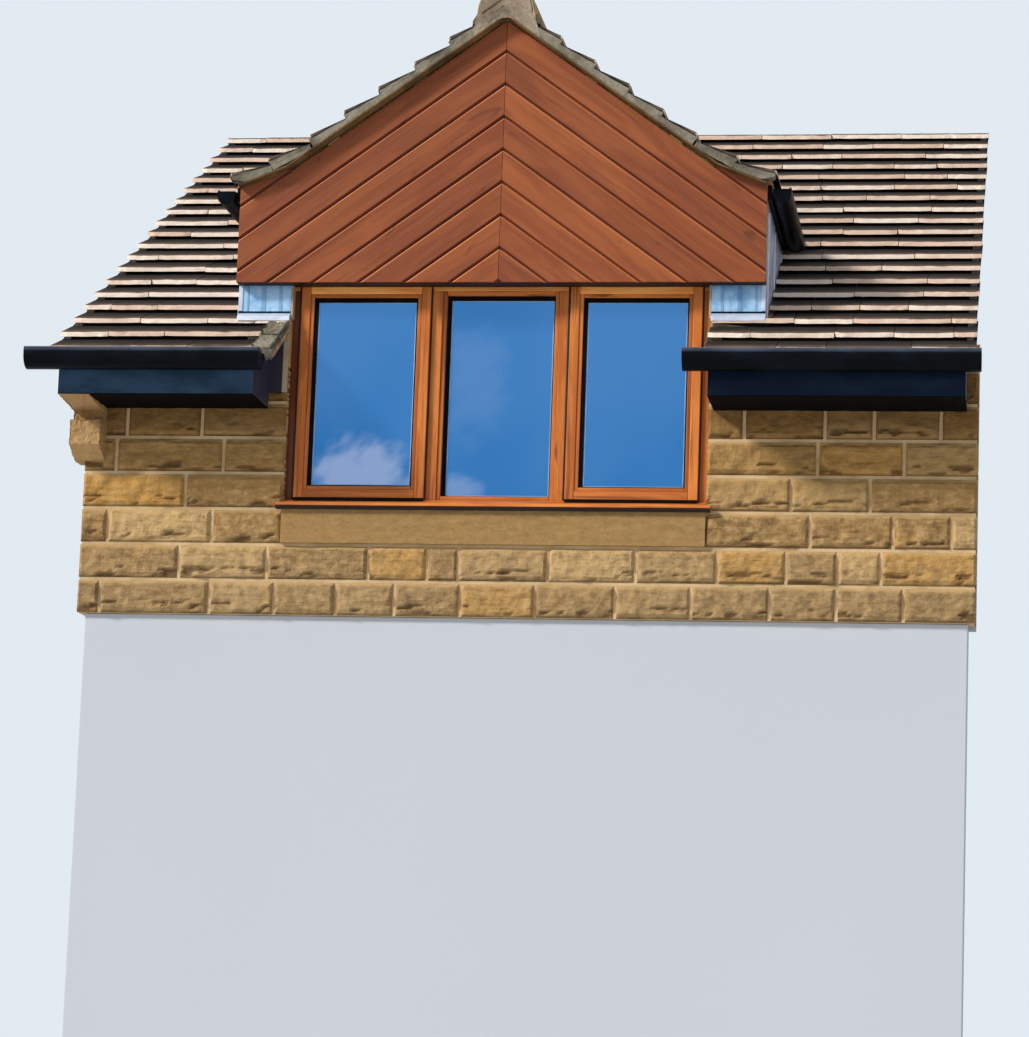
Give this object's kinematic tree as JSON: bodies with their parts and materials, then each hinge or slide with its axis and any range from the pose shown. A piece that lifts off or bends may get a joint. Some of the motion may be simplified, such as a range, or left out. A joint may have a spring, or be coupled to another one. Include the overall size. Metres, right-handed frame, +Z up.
{
  "type": "dormer window",
  "caption": "Through-eaves dormer window: timber casements under a boarded gable, tiled saddle roof and lead cheeks, with the stone wall and eaves that carry it.",
  "frame": {"origin": "in the wall's underside, below the middle of the window and half-way through the wall's thickness", "axes": "+Z up, X along the facade, the facade looks towards -Y"},
  "size_m": [3.893, 2.8565, 2.777],
  "materials": {
    "stone": "pitched-face buff walling",
    "sawn_stone": "smooth sawn buff stone",
    "inner_leaf": "plain block with insulation",
    "window_timber": "stained hardwood, satin",
    "cladding_timber": "stained boards, satin",
    "framing_timber": "sawn softwood",
    "sheathing": "structural board",
    "glass": "reflective double glazing",
    "lead": "weathered lead sheet",
    "tiles": "stone-coloured roof tiles",
    "ridge": "ridge tile",
    "mortar": "grey mortar",
    "black_trim": "black rainwater goods and fascia"
  },
  "bodies": {
    "root": {"centre_beads": "window_timber", "cheek_lead_left": "lead", "cheek_lead_right": "lead", "cheek_panel_left": "framing_timber", "cheek_panel_right": "framing_timber", "corner_corbel": "sawn_stone", "dormer_deck": "sheathing", "dormer_rafters": "framing_timber", "dormer_tiles_left": "tiles", "dormer_tiles_right": "tiles", "eaves_box_left": "black_trim", "eaves_box_right": "black_trim", "eaves_gutter_left": "black_trim", "eaves_gutter_right": "black_trim", "frame_head": "window_timber", "frame_jambs": "window_timber", "frame_mullions": "window_timber", "front_lead": "lead", "gable_battens": "framing_timber", "gable_boards_left": "cladding_timber", "gable_boards_right": "cladding_timber", "gable_sheathing": "sheathing", "gable_soffit": "cladding_timber", "gable_studs": "framing_timber", "glass_centre": "glass", "glass_left": "glass", "glass_right": "glass", "head_beam": "framing_timber", "inner_wall_below": "inner_leaf", "inner_wall_left": "inner_leaf", "inner_wall_right": "inner_leaf", "jamb_fillets": "mortar", "jamb_studs": "framing_timber", "main_deck": "sheathing", "main_rafters": "framing_timber", "main_tiles_left": "tiles", "main_tiles_right": "tiles", "ridge_bedding": "mortar", "ridge_board": "framing_timber", "ridge_tiles": "ridge", "roof_header": "framing_timber", "sash_left": "window_timber", "sash_right": "window_timber", "side_fascias": "black_trim", "side_gutter_left": "black_trim", "side_gutter_right": "black_trim", "stone_sill": "sawn_stone", "stone_wall_below": "stone", "stone_wall_left": "stone", "stone_wall_right": "stone", "valley_lead_left": "lead", "valley_lead_right": "lead", "valley_tiles_left": "tiles", "valley_tiles_right": "tiles", "verge_left": "mortar", "verge_right": "mortar", "wall_plates": "framing_timber", "window_board": "window_timber", "window_sill": "window_timber"}
  },
  "joints": []
}
